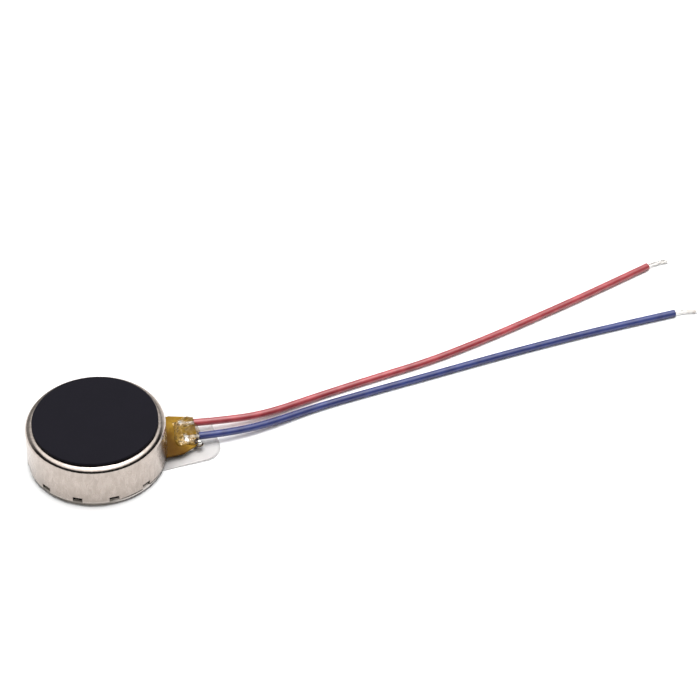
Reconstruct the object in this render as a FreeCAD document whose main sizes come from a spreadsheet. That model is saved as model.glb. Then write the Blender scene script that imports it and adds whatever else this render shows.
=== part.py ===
import FreeCAD, Part
import Sketcher
import math
import os
from types import SimpleNamespace
from FreeCAD import Placement, Rotation, Vector

# Coin vibration motor, 10 mm across. Millimetres, +Z up the motor's axis, +X out along its flex tail.
# The origin is on the axis, on the underside of the release liner.

doc = FreeCAD.newDocument("CoinMotor")
sheet = doc.addObject("Spreadsheet::Sheet", "Sizes")

DIMENSIONS = [
    ("linerThickness", "0.06", "release liner"),
    ("linerInset", "0.1", "liner's round part inside the case's outline"),
    ("tabLength", "3.7", "pull tab past the case"),
    ("tabWidth", "5.4", "pull tab"),
    ("tabCorner", "1.4", "corner radius of the pull tab"),
    ("tapeThickness", "0.12", "double sided adhesive disc"),
    ("tapeInset", "0.15", "adhesive disc inside the case's outline"),
    ("caseRadius", "5", "outside of the drawn case"),
    ("caseHeight", "3.14", "case, from the flange it stands on to its top face"),
    ("caseWall", "0.22", "sheet the case is drawn from"),
    ("caseEdgeRadius", "0.42", "outside corner at the top"),
    ("flangeThickness", "0.24", "plate's flange under the case"),
    ("flangeInset", "0.1", "flange inside the case's outline"),
    ("notchCount", "12", "notches round the lower edge"),
    ("notchWidth", "0.7", "notch"),
    ("notchHeight", "0.42", "notch, up from the case's lower edge"),
    ("earRecess", "0.16", "ear tip behind the case's outer face"),
    ("fitGap", "0.03", "clearance between assembled sheet parts"),
    ("plateThickness", "0.32", "bottom plate with its flange"),
    ("tongueInset", "0.75", "plate's tongue inside the tail's end"),
    ("tongueWidth", "3", "tongue under the flex tail"),
    ("collarWall", "0.16", "collar drawn up round the shaft"),
    ("shaftRadius", "0.4", "fixed shaft"),
    ("filmThickness", "0.06", "flex circuit base film"),
    ("copperThickness", "0.04", "flex circuit copper"),
    ("coverThickness", "0.04", "coverlay over the copper"),
    ("tailLength", "2.45", "flex tail past the case"),
    ("tailTaper", "1.65", "length of the tail's narrowing end"),
    ("tailWidth", "4", "flex tail at the case"),
    ("tailEndWidth", "2.8", "flex tail at its end"),
    ("tailSlant", "0.35", "how much shorter the tail's -Y corner is"),
    ("slotHeadroom", "0.12", "space over the flex in the case's slot"),
    ("slotSideGap", "0.1", "space beside the flex in the case's slot"),
    ("trackWidth", "0.46", "copper track"),
    ("padInset", "0.4", "lead pads inside the tail's end"),
    ("padLength", "1.2", "lead pad"),
    ("padWidth", "0.8", "lead pad"),
    ("magnetGap", "0.48", "ring magnet to the case's inside"),
    ("magnetBore", "2.3", "radius of the ring magnet's hole"),
    ("magnetThickness", "0.65", "ring magnet"),
    ("glueThickness", "0.04", "adhesive under the magnet"),
    ("airGap", "0.2", "magnet to rotor"),
    ("brushThickness", "0.06", "brush strip"),
    ("brushWidth", "0.5", "brush strip"),
    ("brushSlit", "0.12", "slit between the two fingers of a brush"),
    ("brushGap", "0.03", "brush tip to commutator"),
    ("brushSideGap", "0.075", "brush to the plate's collar"),
    ("footGap", "0.05", "brush foot to the magnet"),
    ("footLength", "0.8", "soldered foot of a brush"),
    ("segmentCount", "6", "commutator segments"),
    ("segmentGap", "0.12", "gap between commutator segments"),
    ("segmentThickness", "0.04", "commutator copper"),
    ("segmentInset", "0.2", "commutator to the bush"),
    ("segmentLength", "0.9", "commutator segment along its radius"),
    ("boardThickness", "0.15", "rotor board"),
    ("boardInset", "0.2", "rotor board inside the moulding's rim"),
    ("boardHub", "2.25", "round middle of the rotor board"),
    ("rotorGap", "0.33", "moulded rotor to the case's inside"),
    ("rotorHeadroom", "0.34", "moulded rotor to the case's ceiling"),
    ("rotorAngle", "204", "angle that the moulded rotor spans"),
    ("rotorHubWall", "0.95", "resin round the bush"),
    ("coilCover", "0.12", "resin over the coils"),
    ("coilRim", "0.2", "resin outside the coils"),
    ("coilBore", "1.95", "inner radius of a coil"),
    ("coilAngle", "52", "angle that a coil spans"),
    ("coilBand", "0.6", "width of the winding"),
    ("coilCorner", "0.4", "outside corner radius of a coil"),
    ("coilTurn", "62", "angle from the weight to each coil"),
    ("weightBore", "2.3", "inner radius of the counterweight"),
    ("weightAngle", "60", "angle that the counterweight spans"),
    ("jointRadius", "0.15", "solder joints of the coil ends"),
    ("bushWall", "0.23", "sintered bush"),
    ("bushGap", "0.02", "running clearance round the shaft"),
    ("endPlay", "0.03", "axial play at each end of the bush"),
    ("washerThickness", "0.1", "thrust washers"),
    ("washerRim", "0.1", "upper washer past the bush"),
    ("foamInset", "0.08", "foam pad inside the flat of the case's top"),
    ("foamThickness", "0.25", "foam pad"),
    ("leadRadius", "0.275", "outside of a lead's insulation"),
    ("strandRadius", "0.11", "tinned strands"),
    ("strandOnPad", "1.3", "stripped strands at the pad"),
    ("strandAtTip", "1.75", "stripped strands at the free end"),
    ("solderLength", "0.44", "half length of a solder joint"),
    ("solderWidth", "0.38", "half width of a solder joint"),
    ("solderHeight", "0.3", "solder joint over its pad"),
    ("sealantLength", "0.8", "half length of the clear sealant"),
    ("sealantWidth", "1.4", "half width of the clear sealant"),
    ("sealantHeight", "0.48", "clear sealant over the flex"),
]

# Lead routes, chosen by hand: out of the sealant, down over the tab, then along the surface.
RED_ROUTE = [
    (7.5, 0.72, 0.72),
    (9.5, 0.36, 0.68),
    (12.6, 0.30, 0.46),
    (16.6, 1.12, 0.275),
    (21.2, 1.74, 0.275),
    (25.9, 2.28, 0.275),
    (31.0, 3.42, 0.275),
    (36.6, 4.92, 0.275),
    (41.2, 6.24, 0.275),
    (45.2, 7.45, 0.275),
]
BLUE_ROUTE = [
    (7.5, -0.72, 0.72),
    (9.5, -1.00, 0.68),
    (12.5, -0.74, 0.46),
    (16.2, 0.04, 0.275),
    (20.6, 0.44, 0.275),
    (25.8, 0.84, 0.275),
    (31.2, 1.30, 0.275),
    (36.6, 1.62, 0.275),
    (41.2, 1.76, 0.275),
    (45.15, 1.80, 0.275),
]


class Size:
    """A length with the spreadsheet expression that it comes from."""

    def __init__(self, value, text):
        self.value = value
        self.text = text

    def joined(self, other, sign, result):
        return Size(result, f"({self.text} {sign} {other.text})")

    def __add__(self, other):
        other = asSize(other)
        return self.joined(other, "+", self.value + other.value)

    def __sub__(self, other):
        other = asSize(other)
        return self.joined(other, "-", self.value - other.value)

    def __mul__(self, other):
        other = asSize(other)
        return self.joined(other, "*", self.value * other.value)

    def __truediv__(self, other):
        other = asSize(other)
        return self.joined(other, "/", self.value / other.value)

    def __neg__(self):
        return asSize(0) - self

    def root(self):
        return Size(math.sqrt(self.value), f"sqrt({self.text})")


def asSize(number):
    return number if isinstance(number, Size) else Size(float(number), str(number))


d = SimpleNamespace()
for row, (alias, number, meaning) in enumerate(DIMENSIONS, start=1):
    sheet.set(f"A{row}", meaning)
    sheet.set(f"B{row}", number)
    sheet.setAlias(f"B{row}", alias)
    setattr(d, alias, Size(float(number), f"Sizes.{alias}"))
doc.recompute()


# ---------------------------------------------------------------- helpers

def bind(item, **sizes):
    """Ties properties of an object to the spreadsheet."""
    for name, size in sizes.items():
        item.setExpression(name, asSize(size).text)
    return item


def place(item, x=0, y=0, z=0, turn=0):
    """Ties an object's position, and its turn about Z, to the spreadsheet."""
    turn = asSize(turn)
    item.Placement = Placement(Vector(), Rotation(Vector(0, 0, 1), turn.value))
    item.setExpression(".Placement.Base.x", asSize(x).text)
    item.setExpression(".Placement.Base.y", asSize(y).text)
    item.setExpression(".Placement.Base.z", asSize(z).text)
    if turn.value:
        item.setExpression(".Placement.Rotation.Angle", turn.text)
    return item


def block(name, x, y, z, length, width, height):
    """A box whose Y is given at its middle."""
    item = doc.addObject("Part::Box", name)
    bind(item, Length=length, Width=width, Height=height)
    return place(item, x, asSize(y) - asSize(width) / 2, z)


def cylinder(name, radius, height, z=0, angle=360, turn=0):
    """A cylinder or a sector of one, centred on the given turn."""
    item = doc.addObject("Part::Cylinder", name)
    bind(item, Radius=radius, Height=height, Angle=angle)
    start = asSize(turn) - asSize(angle) / 2 if asSize(angle).value < 360 else 0
    return place(item, z=z, turn=start)


def cut(name, base, *tools):
    item = doc.addObject("Part::Cut", name)
    item.Base = base
    item.Tool = tools[0] if len(tools) == 1 else fuse(f"{name}_tools", *tools)
    return item


def fuse(name, *parts):
    item = doc.addObject("Part::MultiFuse", name)
    item.Shapes = list(parts)
    item.Refine = True
    return item


def group(name, parts):
    item = doc.addObject("Part::Compound", name)
    item.Links = parts
    return item


def ring(name, radius, bore, height, z, angle=360, turn=0):
    """A flat ring, or a sector of one."""
    outside = cylinder(f"{name}_outside", radius, height, z, angle, turn)
    inside = cylinder(f"{name}_inside", bore, height, z)
    return cut(name, outside, inside)


def dome(name, length, width, height, x, y, z):
    """Half of an ellipsoid, standing on the level z."""
    item = doc.addObject("Part::Ellipsoid", name)
    bind(item, Radius1=height, Radius2=length, Radius3=width)
    item.Angle1 = 0
    item.Angle2 = 90
    return place(item, x, y, z)


def newBody(name):
    return doc.addObject("PartDesign::Body", name)


def originFeature(body, role):
    return next(part for part in body.Origin.OriginFeatures if part.Role == role)


def newSketch(body, name, plane):
    sketch = body.newObject("Sketcher::SketchObject", name)
    sketch.AttachmentSupport = [(originFeature(body, plane), "")]
    sketch.MapMode = "FlatFace"
    return sketch


def fixPoint(sketch, edge, x, y):
    """Holds an edge's start point at two bound distances from the origin."""
    for kind, size in (("DistanceX", x), ("DistanceY", y)):
        datum = sketch.addConstraint(Sketcher.Constraint(kind, -1, 1, edge, 1, size.value))
        sketch.setExpression(f"Constraints[{datum}]", size.text)


def outline(body, name, plane, corners):
    """A closed outline of straight lines, with every corner bound to the spreadsheet."""
    sketch = newSketch(body, name, plane)
    corners = [(asSize(x), asSize(y)) for x, y in corners]
    count = len(corners)
    points = [Vector(x.value, y.value, 0) for x, y in corners]
    for edge in range(count):
        sketch.addGeometry(Part.LineSegment(points[edge], points[(edge + 1) % count]))
    for edge in range(count):
        sketch.addConstraint(Sketcher.Constraint("Coincident", edge, 2, (edge + 1) % count, 1))
    for edge, (x, y) in enumerate(corners):
        fixPoint(sketch, edge, x, y)
    return sketch


def rectangle(body, name, x1, x2, width):
    """A rectangle on the body's XY plane, centred on the X axis."""
    half = asSize(width) / 2
    return outline(body, name, "XY_Plane", [(x1, -half), (x2, -half), (x2, half), (x1, half)])


def circle(body, name, radius):
    sketch = newSketch(body, name, "XY_Plane")
    sketch.addGeometry(Part.Circle(Vector(), Vector(0, 0, 1), radius.value))
    sketch.addConstraint(Sketcher.Constraint("Coincident", 0, 3, -1, 1))
    datum = sketch.addConstraint(Sketcher.Constraint("Radius", 0, radius.value))
    sketch.setExpression(f"Constraints[{datum}]", radius.text)
    return sketch


def pad(body, name, sketch, length):
    item = body.newObject("PartDesign::Pad", name)
    item.Profile = sketch
    return bind(item, Length=length)


def pocket(body, name, sketch, length):
    """A cut upwards from the sketch plane, which must take something away."""
    before = body.Shape.Volume
    item = body.newObject("PartDesign::Pocket", name)
    item.Profile = sketch
    item.Reversed = True
    bind(item, Length=length)
    doc.recompute()
    if body.Shape.Volume >= before:
        raise RuntimeError(f"{name} cuts nothing")
    return item


def revolve(body, name, sketch):
    item = body.newObject("PartDesign::Revolution", name)
    item.Profile = sketch
    item.ReferenceAxis = (sketch, ["V_Axis"])
    item.Angle = 360
    doc.recompute()
    return item


def roundRing(body, name, radius, height, size):
    """Rounds the circular edge that has this radius and height in the body's frame."""
    tip = body.Tip
    names = []
    for number, edge in enumerate(tip.Shape.Edges, start=1):
        isRing = isinstance(edge.Curve, Part.Circle) and abs(edge.Curve.Radius - radius.value) < 1e-6
        if isRing and abs(edge.BoundBox.ZMin - asSize(height).value) < 1e-6:
            names.append(f"Edge{number}")
    item = body.newObject("PartDesign::Fillet", name)
    item.Base = (tip, names)
    bind(item, Radius=size)
    doc.recompute()
    return item


def roundUprights(body, name, test, size):
    """Rounds the upright straight edges whose middle point passes the test."""
    tip = body.Tip
    names = []
    for number, edge in enumerate(tip.Shape.Edges, start=1):
        box = edge.BoundBox
        if box.ZLength > 1e-6 and box.XLength + box.YLength < 1e-6 and test(box.Center):
            names.append(f"Edge{number}")
    item = body.newObject("PartDesign::Fillet", name)
    item.Base = (tip, names)
    bind(item, Radius=size)
    doc.recompute()
    return item


def repeatRound(body, name, feature, count):
    item = body.newObject("PartDesign::PolarPattern", name)
    item.Originals = [feature]
    item.Axis = (originFeature(body, "Z_Axis"), [""])
    item.Angle = 360
    bind(item, Occurrences=count)
    body.Tip = item
    doc.recompute()
    return item


# ---------------------------------------------------------------- levels, from the surface up

tapeBase = d.linerThickness
plateBase = tapeBase + d.tapeThickness
plateTop = plateBase + d.plateThickness
caseBase = plateBase + d.flangeThickness
filmTop = plateTop + d.filmThickness
copperTop = filmTop + d.copperThickness
flexTop = copperTop + d.coverThickness
magnetBase = flexTop + d.glueThickness
rotorBase = magnetBase + d.magnetThickness + d.airGap
boardBase = rotorBase + d.segmentThickness
boardTop = boardBase + d.boardThickness
caseTop = caseBase + d.caseHeight
caseCeiling = caseTop - d.caseWall
rotorTop = caseCeiling - d.rotorHeadroom
bushBase = rotorBase - d.endPlay
bushTop = caseCeiling - d.washerThickness - d.endPlay
washerBase = bushBase - d.endPlay - d.washerThickness

# ---------------------------------------------------------------- radii and reaches, from the axis out

innerRadius = d.caseRadius - d.caseWall
plugRadius = innerRadius - d.fitGap
magnetRadius = innerRadius - d.magnetGap
rotorRadius = innerRadius - d.rotorGap
boardRadius = rotorRadius - d.boardInset
coilRadius = rotorRadius - d.coilRim
collarRadius = d.shaftRadius + d.collarWall
washerBore = d.shaftRadius + d.fitGap
bushBore = d.shaftRadius + d.bushGap
bushRadius = bushBore + d.bushWall
rotorHub = bushRadius + d.rotorHubWall
segmentBore = bushRadius + d.segmentInset
segmentRadius = segmentBore + d.segmentLength
tailReach = d.caseRadius + d.tailLength
padEnd = tailReach - d.padInset
padStart = padEnd - d.padLength

# The brushes pass on either side of the collar and stand inside the magnet's hole.
brushOffset = collarRadius + d.brushSideGap + d.brushWidth / 2
footWidth = d.brushWidth + d.fitGap * 2
footSide = brushOffset + footWidth / 2
footRadius = d.magnetBore - d.footGap
footReach = (footRadius * footRadius - footSide * footSide).root()

weightTurn = asSize(90)
DEGREES = math.degrees(1)

nodes = {}


def keep(label, item, body):
    """Names a finished sub-part and the body that it moves with."""
    item.Label = label
    nodes[label] = (item, body)


# ---------------------------------------------------------------- housing

def makeCase():
    body = newBody("CaseBody")
    profile = outline(body, "CaseProfile", "XZ_Plane", [
        (innerRadius, 0),
        (d.caseRadius, 0),
        (d.caseRadius, d.caseHeight),
        (d.shaftRadius, d.caseHeight),
        (d.shaftRadius, d.caseHeight - d.caseWall),
        (innerRadius, d.caseHeight - d.caseWall),
    ])
    revolve(body, "CaseDrawn", profile)
    roundRing(body, "CaseEdge", d.caseRadius, d.caseHeight, d.caseEdgeRadius)
    inside = d.caseEdgeRadius - d.caseWall
    roundRing(body, "CaseInsideEdge", innerRadius, d.caseHeight - d.caseWall, inside)
    beyond = d.caseRadius * 1.2
    notch = rectangle(body, "NotchOutline", plugRadius, beyond, d.notchWidth)
    notchCut = pocket(body, "Notch", notch, d.notchHeight)
    repeatRound(body, "Notches", notchCut, d.notchCount)
    slotWidth = d.tailWidth + d.slotSideGap * 2
    slot = rectangle(body, "SlotOutline", 0, beyond, slotWidth)
    pocket(body, "FlexSlot", slot, flexTop - caseBase + d.slotHeadroom)
    place(body, z=caseBase)
    keep("case_cover", body, "housing")


def makeBottomPlate():
    body = newBody("PlateBody")
    flangeRadius = d.caseRadius - d.flangeInset
    profile = outline(body, "PlateProfile", "XZ_Plane", [
        (d.shaftRadius, 0),
        (flangeRadius, 0),
        (flangeRadius, d.flangeThickness),
        (plugRadius, d.flangeThickness),
        (plugRadius, d.plateThickness),
        (collarRadius, d.plateThickness),
        (collarRadius, washerBase - plateBase),
        (d.shaftRadius, washerBase - plateBase),
    ])
    revolve(body, "PlateDisc", profile)
    earWidth = d.notchWidth - d.fitGap * 2
    ear = rectangle(body, "EarOutline", plugRadius - d.fitGap, d.caseRadius - d.earRecess, earWidth)
    earPad = pad(body, "Ear", ear, d.plateThickness)
    doc.recompute()
    repeatRound(body, "Ears", earPad, d.notchCount)
    tongueReach = tailReach - d.tongueInset
    tongue = rectangle(body, "TongueOutline", plugRadius - d.fitGap, tongueReach, d.tongueWidth)
    pad(body, "Tongue", tongue, d.plateThickness)
    place(body, z=plateBase)
    keep("bottom_plate", body, "housing")


def makeShaft():
    rod = cylinder("ShaftRod", d.shaftRadius, caseTop - plateBase, plateBase)
    keep("shaft", rod, "housing")


def flexOutline(name, thickness):
    """The round film with its tail, and the hole that clears the collar."""
    body = newBody(f"{name}Body")
    pad(body, f"{name}Round", circle(body, f"{name}Circle", magnetRadius), thickness)
    half = d.tailWidth / 2
    halfEnd = d.tailEndWidth / 2
    shoulder = tailReach - d.tailTaper
    tail = outline(body, f"{name}TailOutline", "XY_Plane", [
        (collarRadius * 2, -half),
        (shoulder, -half),
        (tailReach - d.tailSlant, -halfEnd),
        (tailReach, halfEnd),
        (shoulder, half),
        (collarRadius * 2, half),
    ])
    pad(body, f"{name}Tail", tail, thickness)
    doc.recompute()
    pocket(body, f"{name}Hole", circle(body, f"{name}HoleCircle", collarRadius + d.fitGap), thickness)
    return body


def makeFlexCircuit():
    film = place(flexOutline("Film", d.filmThickness), z=plateTop)
    keep("flex_film", film, "housing")
    tracks = []
    windows = []
    overFilm = d.copperThickness + d.coverThickness
    for label, side in (("positive_track", 1), ("negative_track", -1)):
        middle = brushOffset * side
        strip = block(f"{label}_strip", -footReach, middle, filmTop, padEnd + footReach,
                      d.trackWidth, d.copperThickness)
        foot = block(f"{label}_foot", -footReach, middle, filmTop, d.footLength,
                     footWidth, d.copperThickness)
        end = block(f"{label}_pad", padStart, middle, filmTop, d.padLength, d.padWidth, d.copperThickness)
        track = fuse(f"{label}_copper", strip, foot, end)
        tracks.append(track)
        keep(label, track, "housing")
        windows.append(block(f"{label}_window", padStart, middle, filmTop,
                             tailReach - padStart, d.padWidth, overFilm))
        windows.append(block(f"{label}_foot_window", -footReach, middle, filmTop,
                             d.footLength + d.brushWidth / 2, footWidth, overFilm))
    coverlay = place(flexOutline("Cover", overFilm), z=filmTop)
    keep("flex_coverlay", cut("CoverWithWindows", coverlay, *tracks, *windows), "housing")


def makeMagnet():
    glue = ring("MagnetGlue", magnetRadius, d.magnetBore, d.glueThickness, flexTop)
    keep("magnet_adhesive", glue, "housing")
    magnet = ring("Magnet", magnetRadius, d.magnetBore, d.magnetThickness, magnetBase)
    keep("ring_magnet", magnet, "housing")


def makeBrushes():
    """Two leaf brushes side by side. Their forked tips meet the commutator a quarter turn apart."""
    tip = brushOffset
    height = rotorBase - d.brushGap - copperTop
    thick = d.brushThickness
    footFront = d.footLength - footReach
    solder = []
    for label, side in (("left_brush", 1), ("right_brush", -1)):
        body = newBody(f"{label}_body")
        profile = outline(body, f"{label}_profile", "XZ_Plane", [
            (-footReach, 0),
            (footFront, 0),
            (tip - d.brushWidth / 2, height - thick),
            (tip + d.brushWidth / 4, height - thick),
            (tip + d.brushWidth / 4, height),
            (tip - d.brushWidth / 2, height),
            (footFront, thick),
            (-footReach, thick),
        ])
        strip = pad(body, f"{label}_strip", profile, d.brushWidth)
        strip.SideType = "Symmetric"
        doc.recompute()
        slit = rectangle(body, f"{label}_slit", -d.brushWidth / 2, tip + d.brushWidth, d.brushSlit)
        pocket(body, f"{label}_fork", slit, height * 2)
        place(body, y=brushOffset * side, z=copperTop)
        keep(label, body, "housing")
        solder.append(dome(f"{label}_solder", d.footLength * 0.4, d.brushWidth * 0.45, thick * 2,
                           d.footLength / 2 - footReach, brushOffset * side, copperTop + thick))
    keep("brush_solder_joints", group("BrushSolder", solder), "housing")


def makeWashers():
    lower = ring("LowerWasher", collarRadius, washerBore, d.washerThickness, washerBase)
    keep("lower_washer", lower, "housing")
    upper = ring("UpperWasher", bushRadius + d.washerRim, washerBore, d.washerThickness,
                 caseCeiling - d.washerThickness)
    keep("upper_washer", upper, "housing")


def makePads():
    """Foam pad on top, adhesive disc and release liner with its pull tab below."""
    foamRadius = d.caseRadius - d.caseEdgeRadius - d.foamInset
    keep("foam_pad", cylinder("FoamPad", foamRadius, d.foamThickness, caseTop), "housing")
    tapeRadius = d.caseRadius - d.tapeInset
    keep("adhesive_disc", cylinder("AdhesiveDisc", tapeRadius, d.tapeThickness, tapeBase), "housing")
    linerRadius = d.caseRadius - d.linerInset
    body = newBody("LinerBody")
    pad(body, "LinerRound", circle(body, "LinerCircle", linerRadius), d.linerThickness)
    tab = rectangle(body, "TabOutline", 0, d.caseRadius + d.tabLength, d.tabWidth)
    pad(body, "Tab", tab, d.linerThickness)
    doc.recompute()
    roundUprights(body, "TabCorners", lambda point: point.x > linerRadius.value, d.tabCorner)
    keep("release_liner", body, "housing")


# ---------------------------------------------------------------- rotor

def coilOutline(name, bore, radius, angle, corner, height):
    """A ring sector with rounded corners, standing on the rotor board and centred on +X."""
    whole = ring(f"{name}_sector", radius, bore, height, boardTop, angle)
    doc.recompute()
    item = doc.addObject("Part::Fillet", name)
    item.Base = whole
    uprights = []
    for number, edge in enumerate(whole.Shape.Edges, start=1):
        box = edge.BoundBox
        if isinstance(edge.Curve, Part.Line) and box.ZLength > height.value / 2:
            uprights.append((number, corner.value, corner.value))
    item.Edges = uprights
    return item


def makeCoils():
    middle = (d.coilBore + coilRadius) / 2
    insideAngle = d.coilAngle - d.coilBand * 2 / middle * DEGREES
    inside = (d.coilBore + d.coilBand, coilRadius - d.coilBand, insideAngle)
    coilHeight = rotorTop - d.coilCover - boardTop
    coils = []
    for label, side in (("left_coil", 1), ("right_coil", -1)):
        outer = coilOutline(f"{label}_outer", d.coilBore, coilRadius, d.coilAngle,
                            d.coilCorner, coilHeight)
        inner = coilOutline(f"{label}_inner", *inside, d.coilCorner / 2, coilHeight)
        coil = cut(f"{label}_winding", outer, inner)
        place(coil, turn=weightTurn + d.coilTurn * side)
        keep(label, coil, "rotor")
        coils.append(coil)
    return coils


def makeRotor():
    bush = ring("Bush", bushRadius, bushBore, bushTop - bushBase, bushBase)
    keep("rotor_bush", bush, "rotor")

    segmentRing = ring("SegmentRing", segmentRadius, segmentBore, d.segmentThickness, rotorBase)
    gaps = []
    for number in range(int(d.segmentCount.value)):
        bar = block(f"SegmentBar{number}", 0, 0, rotorBase, segmentRadius * 2,
                    d.segmentGap, d.segmentThickness)
        gap = group(f"SegmentGap{number}", [bar])
        gaps.append(place(gap, turn=asSize(360) / d.segmentCount * number))
    keep("commutator_segments", cut("Segments", segmentRing, *gaps), "rotor")

    boardSector = cylinder("BoardSector", boardRadius, d.boardThickness, boardBase,
                           d.rotorAngle, weightTurn)
    boardMiddle = cylinder("BoardMiddle", d.boardHub, d.boardThickness, boardBase)
    boardHole = cylinder("BoardHole", bushRadius, d.boardThickness, boardBase)
    board = cut("Board", fuse("BoardWhole", boardSector, boardMiddle), boardHole)
    keep("rotor_board", board, "rotor")

    height = rotorTop - boardTop
    coils = makeCoils()
    weight = ring("Weight", rotorRadius, d.weightBore, height, boardTop, d.weightAngle, weightTurn)
    keep("counterweight", weight, "rotor")
    sector = cylinder("MouldingSector", rotorRadius, height, boardTop, d.rotorAngle, weightTurn)
    hub = cylinder("MouldingHub", rotorHub, height, boardTop)
    hole = cylinder("MouldingHole", bushRadius, height, boardTop)
    moulding = cut("Moulding", fuse("MouldingWhole", sector, hub), hole, weight, *coils)
    keep("rotor_moulding", moulding, "rotor")

    joints = []
    reach = d.boardHub - d.jointRadius * 1.5
    for number, turn in enumerate((-80, -40, 40, 80)):
        angle = math.radians(weightTurn.value + turn)
        joint = doc.addObject("Part::Cone", f"CoilJoint{number}")
        bind(joint, Radius1=d.jointRadius / 2, Radius2=d.jointRadius, Height=d.jointRadius / 2)
        joints.append(place(joint, reach * math.cos(angle), reach * math.sin(angle),
                            boardBase - d.jointRadius / 2))
    keep("coil_solder_joints", group("CoilJoints", joints), "rotor")


# ---------------------------------------------------------------- leads

def roundedPath(route):
    """Straight runs joined by tangent arcs. Each arc's radius is 0.45 of its shorter run
    divided by the tangent of half the turn. Returns the edges, the radii and the length."""
    points = [Vector(*point) for point in route]
    edges = []
    radii = []
    start = points[0]
    for before, corner, after in zip(points, points[1:], points[2:]):
        inward = (corner - before).normalize()
        outward = (after - corner).normalize()
        turn = inward.getAngle(outward)
        reach = 0.45 * min((corner - before).Length, (after - corner).Length)
        radius = reach / math.tan(turn / 2)
        first = corner - inward * reach
        last = corner + outward * reach
        towards = (outward - inward).normalize()
        middle = corner + towards * (radius / math.cos(turn / 2) - radius)
        edges.append(Part.LineSegment(start, first).toShape())
        edges.append(Part.Arc(first, middle, last).toShape())
        radii.append(radius)
        start = last
    edges.append(Part.LineSegment(start, points[-1]).toShape())
    length = sum(edge.Length for edge in edges)
    return edges, radii, length


def rodAlong(name, start, direction, length):
    """Round strands that start at a point and run along a direction."""
    item = doc.addObject("Part::Cylinder", name)
    bind(item, Radius=d.strandRadius, Height=length)
    item.Placement = Placement(start, Rotation(Vector(0, 0, 1), direction))
    return item


def makeLead(colour, route, side):
    """One insulated lead with its stripped ends: at the pad and at the free end."""
    edges, radii, length = roundedPath(route)
    spine = doc.addObject("Part::Feature", f"{colour}_path")
    spine.Shape = Part.Wire(edges)
    start = Vector(*route[0])
    end = Vector(*route[-1])
    away = (Vector(*route[1]) - start).normalize()
    onward = (end - Vector(*route[-2])).normalize()
    section = doc.addObject("Part::Circle", f"{colour}_section")
    bind(section, Radius=d.leadRadius)
    section.Placement = Placement(start, Rotation(Vector(0, 0, 1), away))
    tube = doc.addObject("Part::Sweep", f"{colour}_sweep")
    tube.Sections = [section]
    tube.Spine = (spine, [f"Edge{number}" for number in range(1, len(edges) + 1)])
    tube.Solid = True
    tube.Frenet = False
    doc.recompute()
    expected = math.pi * d.leadRadius.value ** 2 * length
    if abs(tube.Shape.Volume - expected) > 0.01 * expected:
        raise RuntimeError(f"{colour} lead: volume {tube.Shape.Volume}, expected {expected}")
    print(colour, "lead length", round(length, 2), "radii", [round(radius, 1) for radius in radii])
    keep(f"{colour}_lead", tube, "housing")
    inner = rodAlong(f"{colour}_inner", start, -away, d.strandOnPad)
    keep(f"{colour}_pad_strands", inner, "housing")
    keep(f"{colour}_tinned_end", rodAlong(f"{colour}_tip", end, onward, d.strandAtTip), "housing")
    blob = dome(f"{colour}_blob", d.solderLength, d.solderWidth, d.solderHeight,
                padEnd - d.padLength / 2, brushOffset * side, copperTop)
    keep(f"{colour}_solder_joint", cut(f"{colour}_solder", blob, inner), "housing")
    return inner, blob


def makeLeads():
    tools = []
    for colour, route, side in (("red", RED_ROUTE, 1), ("blue", BLUE_ROUTE, -1)):
        tools.extend(makeLead(colour, route, side))
    bead = dome("SealantDome", d.sealantLength, d.sealantWidth, d.sealantHeight,
                tailReach - d.sealantLength, 0, flexTop)
    keep("joint_sealant", cut("Sealant", bead, *tools), "housing")


makeCase()
makeBottomPlate()
makeShaft()
makeFlexCircuit()
makeMagnet()
makeBrushes()
makeWashers()
makePads()
makeRotor()
makeLeads()
doc.recompute()

for item in doc.Objects:
    if "Invalid" in item.State or "Error" in item.State:
        raise RuntimeError(f"{item.Name} ({item.Label}) failed: {item.State}")
for label, (item, body) in nodes.items():
    if item.Shape.isNull() or not item.Shape.isValid() or not item.Shape.Solids:
        raise RuntimeError(f"{label} has no valid solid")

os.makedirs("parts", exist_ok=True)
for label, (item, body) in nodes.items():
    item.Shape.exportStep(f"parts/{label}.step")
    print(label, body, len(item.Shape.Solids), round(item.Shape.Volume, 4))
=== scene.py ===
import math
import bpy
import numpy as np
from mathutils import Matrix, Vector


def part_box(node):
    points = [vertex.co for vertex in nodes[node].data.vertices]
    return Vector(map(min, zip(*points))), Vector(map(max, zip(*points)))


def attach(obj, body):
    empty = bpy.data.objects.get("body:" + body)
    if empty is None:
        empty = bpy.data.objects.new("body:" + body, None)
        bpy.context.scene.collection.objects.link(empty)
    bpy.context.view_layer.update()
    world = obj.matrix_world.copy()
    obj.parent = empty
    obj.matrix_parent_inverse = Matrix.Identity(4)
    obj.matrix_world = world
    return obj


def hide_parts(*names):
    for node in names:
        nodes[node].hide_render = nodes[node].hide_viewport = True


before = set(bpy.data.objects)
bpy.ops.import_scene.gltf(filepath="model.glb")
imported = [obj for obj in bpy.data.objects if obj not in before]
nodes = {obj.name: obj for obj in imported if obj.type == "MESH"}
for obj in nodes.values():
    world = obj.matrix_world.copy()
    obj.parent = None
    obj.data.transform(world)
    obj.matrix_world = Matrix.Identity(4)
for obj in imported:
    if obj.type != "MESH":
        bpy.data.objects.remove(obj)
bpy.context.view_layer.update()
scene = bpy.context.scene
mm = 0.001
print("frame loaded:", len(nodes), "nodes")

cameraValues = {
    "azimuth": -17.5,      # degrees, 0 looks along +Y
    "elevation": 42.3,
    "distance": 210.5 * mm,
    "lens": 151.9,
    "aim": (18.69, -0.37, 5.79),   # mm
}


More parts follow.
